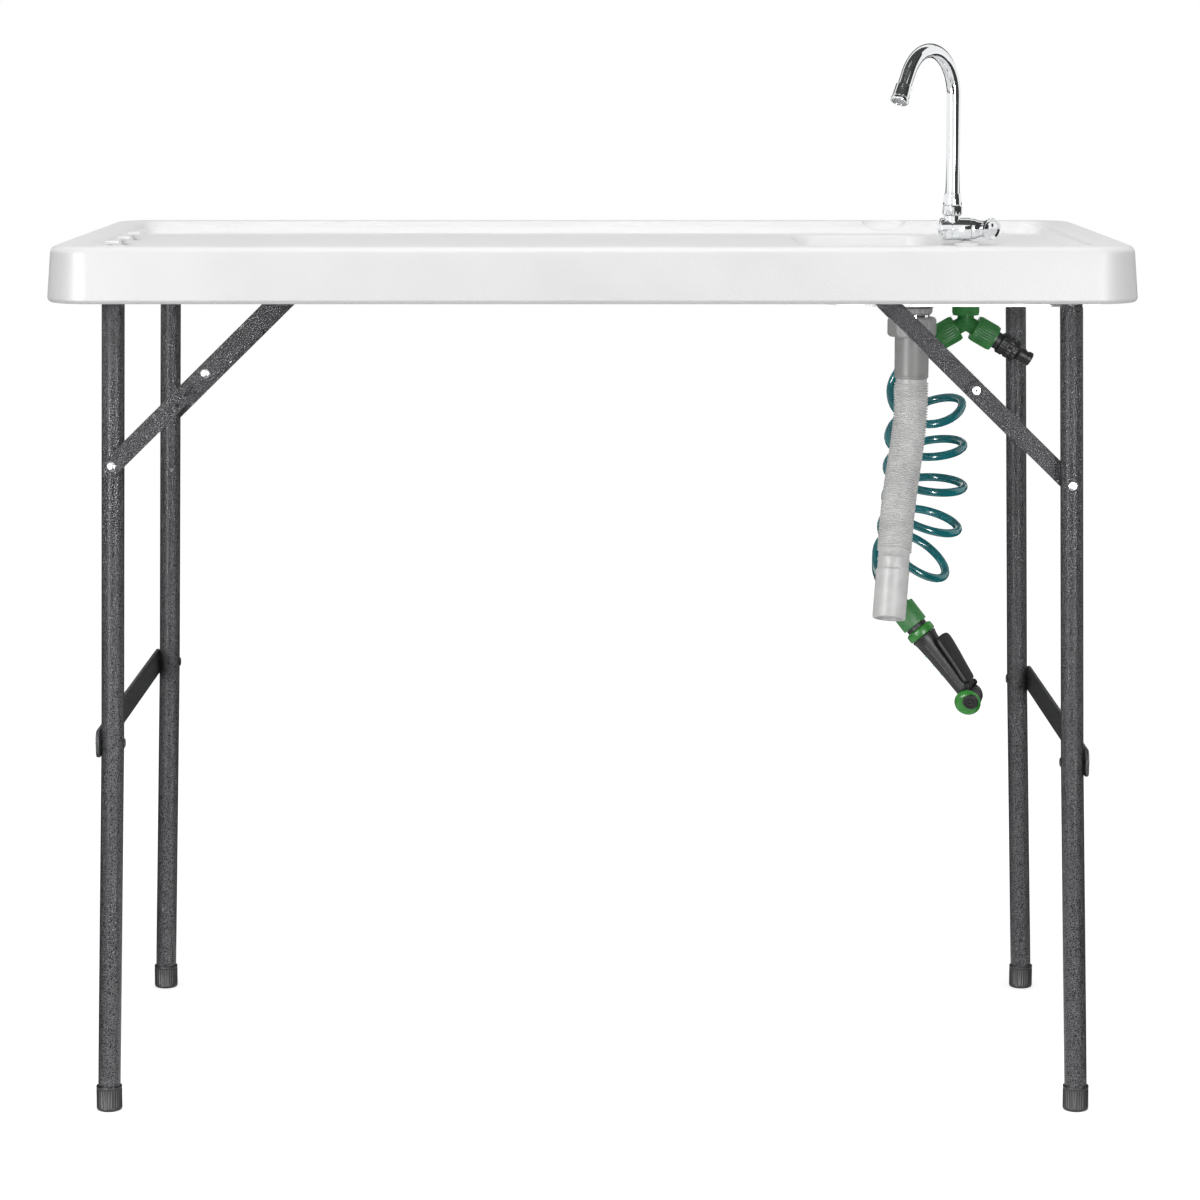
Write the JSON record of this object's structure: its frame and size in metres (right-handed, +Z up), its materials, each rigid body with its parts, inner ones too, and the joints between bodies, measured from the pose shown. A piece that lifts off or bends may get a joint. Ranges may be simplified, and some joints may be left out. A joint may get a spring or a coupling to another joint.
{
  "type": "folding sink table",
  "caption": "Folding camp table with a recessed cutting top, sink basin, swan-neck faucet, drain hose, coiled hose with spray gun, and braced steel legs that fold under.",
  "frame": {"origin": "on the floor, under the middle of the tabletop's outline", "axes": "+X towards the sink end, -Y towards the front, +Z up"},
  "size_m": [1.155, 0.594, 1.1517],
  "materials": {
    "white_hdpe": "fine textured white polyethylene",
    "white_plastic": "smooth white",
    "hammertone_paint": "dark grey hammertone powder coat",
    "zinc_steel": "bright zinc plate",
    "chrome_plate": "polished chrome plate",
    "black_rubber": "matt black",
    "grey_pvc": "satin grey",
    "pale_pe": "satin pale grey",
    "green_abs": "satin green",
    "black_nylon": "satin black",
    "teal_hose": "glossy teal"
  },
  "bodies": {
    "table": {"tabletop": "white_hdpe", "left_front_rail": "zinc_steel", "left_rear_rail": "zinc_steel", "right_front_rail": "zinc_steel", "right_rear_rail": "zinc_steel", "drain_strainer": "chrome_plate", "drain_gasket": "black_rubber", "drain_locknut": "grey_pvc", "drain_union_nut": "grey_pvc", "drain_upper_cuff": "grey_pvc", "drain_hose": "pale_pe", "faucet_base": "white_plastic", "faucet_mounting_nut": "white_plastic", "faucet_body": "chrome_plate", "spout_nut": "chrome_plate", "splitter_body": "green_abs", "splitter_top_nut": "green_abs", "splitter_left_nut": "green_abs", "splitter_right_nut": "green_abs", "supply_adaptor": "black_nylon", "coil_hose": "teal_hose", "hose_boot": "black_nylon", "gun_connector": "black_nylon", "gun_collar": "green_abs", "gun_body": "black_nylon", "lever_pin": "zinc_steel"},
    "left_leg_frame": {"left_front_leg": "hammertone_paint", "left_rear_leg": "hammertone_paint", "left_front_foot": "black_rubber", "left_rear_foot": "black_rubber", "left_front_leg_rivet": "zinc_steel", "left_rear_leg_rivet": "zinc_steel", "left_pivot_rod": "zinc_steel", "left_crossbar": "hammertone_paint"},
    "left_lower_braces": {"left_front_lower_brace": "hammertone_paint", "left_rear_lower_brace": "hammertone_paint"},
    "left_upper_braces": {"left_front_upper_brace": "hammertone_paint", "left_rear_upper_brace": "hammertone_paint", "left_front_knee_rivet": "zinc_steel", "left_rear_knee_rivet": "zinc_steel"},
    "right_leg_frame": {"right_front_leg": "hammertone_paint", "right_rear_leg": "hammertone_paint", "right_front_foot": "black_rubber", "right_rear_foot": "black_rubber", "right_front_leg_rivet": "zinc_steel", "right_rear_leg_rivet": "zinc_steel", "right_pivot_rod": "zinc_steel", "right_crossbar": "hammertone_paint"},
    "right_lower_braces": {"right_front_lower_brace": "hammertone_paint", "right_rear_lower_brace": "hammertone_paint"},
    "right_upper_braces": {"right_front_upper_brace": "hammertone_paint", "right_rear_upper_brace": "hammertone_paint", "right_front_knee_rivet": "zinc_steel", "right_rear_knee_rivet": "zinc_steel"},
    "swivel_spout": {"spout": "chrome_plate", "aerator": "chrome_plate"},
    "handle": {"tap_handle": "chrome_plate"},
    "lever": {"gun_lever": "black_nylon"},
    "nozzle": {"gun_nozzle": "green_abs"},
    "sleeve": {"connector_sleeve": "green_abs"}
  },
  "joints": [
    {"name": "left_fold", "type": "hinge", "parent": "table", "child": "left_leg_frame", "pos_m": [-0.507, 0, 0.905], "axis": [0, -1, 0], "range_deg": [0, 91]},
    {"name": "left_upper_brace_turn", "type": "hinge", "parent": "table", "child": "left_upper_braces", "pos_m": [-0.3075, 0, 0.905], "axis": [0, 1, 0], "range_deg": [0, 45]},
    {"name": "left_lower_brace_turn", "type": "hinge", "parent": "left_leg_frame", "child": "left_lower_braces", "pos_m": [-0.51048, 0, 0.70553], "axis": [0, -1, 0], "range_deg": [0, 45]},
    {"name": "right_fold", "type": "hinge", "parent": "table", "child": "right_leg_frame", "pos_m": [0.507, 0, 0.884], "axis": [0, 1, 0], "range_deg": [0, 86]},
    {"name": "right_upper_brace_turn", "type": "hinge", "parent": "table", "child": "right_upper_braces", "pos_m": [0.3075, 0, 0.884], "axis": [0, -1, 0], "range_deg": [0, 45]},
    {"name": "right_lower_brace_turn", "type": "hinge", "parent": "right_leg_frame", "child": "right_lower_braces", "pos_m": [0.51048, 0, 0.68453], "axis": [0, 1, 0], "range_deg": [0, 45]},
    {"name": "spout_swivel", "type": "hinge", "parent": "table", "child": "swivel_spout", "pos_m": [0.4049, 0, 0.9593], "axis": [0, 0, 1], "continuous": true},
    {"name": "tap_turn", "type": "hinge", "parent": "table", "child": "handle", "pos_m": [0.4257, 0, 0.9438], "axis": [1, 0, 0], "range_deg": [0, 90]},
    {"name": "lever_squeeze", "type": "hinge", "parent": "table", "child": "lever", "pos_m": [0.42127, -0.11243, 0.44375], "axis": [-0.6202, -0.7252, -0.2991], "range_deg": [0, 5], "stiffness_Nm_per_rad": 0.8, "springref_deg": -6.88},
    {"name": "nozzle_twist", "type": "hinge", "parent": "table", "child": "nozzle", "pos_m": [0.4208, -0.10584, 0.42874], "axis": [-0.2813, -0.9042, -0.3215], "range_deg": [0, 270]},
    {"name": "sleeve_pull", "type": "slide", "parent": "table", "child": "sleeve", "axis": [-0.6038, 0.198, 0.7721], "range_m": [0, 0.003], "stiffness_N_per_m": 600, "springref_m": -0.003}
  ],
  "couplings": [
    {"joint": "left_upper_brace_turn", "follows": "left_fold", "ratio": 0.48901},
    {"joint": "left_lower_brace_turn", "follows": "left_fold", "ratio": 0.48901},
    {"joint": "right_upper_brace_turn", "follows": "right_fold", "ratio": 0.50574},
    {"joint": "right_lower_brace_turn", "follows": "right_fold", "ratio": 0.50574}
  ]
}
